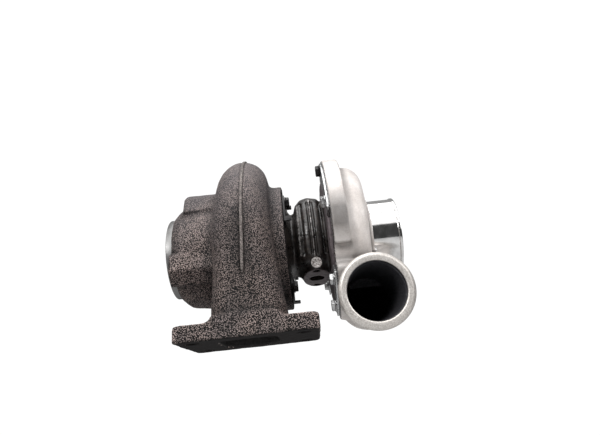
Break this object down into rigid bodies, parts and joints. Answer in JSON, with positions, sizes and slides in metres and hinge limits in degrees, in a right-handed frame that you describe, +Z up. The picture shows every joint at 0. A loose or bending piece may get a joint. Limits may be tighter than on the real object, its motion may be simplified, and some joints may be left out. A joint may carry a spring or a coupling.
{
  "type": "turbocharger",
  "caption": "Oil-cooled turbocharger with a foot-mounted scroll turbine housing, ribbed bearing housing and aluminium compressor cover; the rotor spins on floating bearings.",
  "frame": {"origin": "centre of the turbine inlet flange's bottom face, between its four stud holes", "axes": "+X along the shaft from the turbine outlet towards the compressor inlet, +Z up out of the inlet flange, -Y towards the side that the compressor delivery faces"},
  "size_m": [0.205, 0.1638, 0.1749],
  "materials": {
    "sand_cast_iron": "coarse dark brown-grey sand casting",
    "black_cast_iron": "oiled black casting",
    "cast_aluminium": "satin casting",
    "machined_aluminium": "fine turned",
    "steel": "ground",
    "plated_steel": "zinc plated",
    "black_steel": "heat-blackened steel",
    "nickel_alloy": "investment cast, turned shaft",
    "bronze": "turned bronze",
    "seal_rubber": "smooth"
  },
  "bodies": {
    "housing": {"bearing_housing": "black_cast_iron", "compressor_bearing_circlip": "steel", "compressor_cover": "cast_aluminium", "compressor_piston_ring": "steel", "cover_bolt_1": "plated_steel", "cover_bolt_2": "plated_steel", "cover_bolt_3": "plated_steel", "cover_bolt_4": "plated_steel", "cover_bolt_5": "plated_steel", "cover_bolt_6": "plated_steel", "cover_clamp_plate_1": "plated_steel", "cover_clamp_plate_2": "plated_steel", "cover_clamp_plate_3": "plated_steel", "cover_o_ring": "seal_rubber", "gallery_plug": "plated_steel", "heat_shield": "steel", "oil_deflector": "steel", "seal_plate": "machined_aluminium", "seal_plate_o_ring": "seal_rubber", "seal_plate_snap_ring": "steel", "thrust_bearing": "bronze", "thrust_bearing_screw_1": "steel", "thrust_bearing_screw_2": "steel", "turbine_bearing_inner_circlip": "steel", "turbine_bearing_outer_circlip": "steel", "turbine_bolt_1": "black_steel", "turbine_bolt_2": "black_steel", "turbine_bolt_3": "black_steel", "turbine_bolt_4": "black_steel", "turbine_clamp_plate_1": "black_steel", "turbine_clamp_plate_2": "black_steel", "turbine_clamp_plate_3": "black_steel", "turbine_clamp_plate_4": "black_steel", "turbine_housing": "sand_cast_iron", "turbine_piston_ring": "steel"},
    "rotor": {"turbine_wheel_and_shaft": "nickel_alloy", "compressor_wheel": "machined_aluminium", "shaft_nut": "steel", "thrust_collar": "steel", "flinger_sleeve": "steel"},
    "turbine_bearing_ring": {"turbine_bearing": "bronze"},
    "compressor_bearing_ring": {"compressor_bearing": "bronze"}
  },
  "joints": [
    {"name": "rotor_spin", "type": "hinge", "parent": "housing", "child": "rotor", "pos_m": [0, 0.0425, 0.0868], "axis": [-1, 0, 0], "continuous": true},
    {"name": "turbine_bearing_spin", "type": "hinge", "parent": "housing", "child": "turbine_bearing_ring", "pos_m": [0.0367, 0.0425, 0.0868], "axis": [-1, 0, 0], "continuous": true},
    {"name": "compressor_bearing_spin", "type": "hinge", "parent": "housing", "child": "compressor_bearing_ring", "pos_m": [0.0551, 0.0425, 0.0868], "axis": [-1, 0, 0], "continuous": true}
  ],
  "couplings": [
    {"joint": "turbine_bearing_spin", "follows": "rotor_spin", "ratio": 0.3},
    {"joint": "compressor_bearing_spin", "follows": "rotor_spin", "ratio": 0.3}
  ]
}
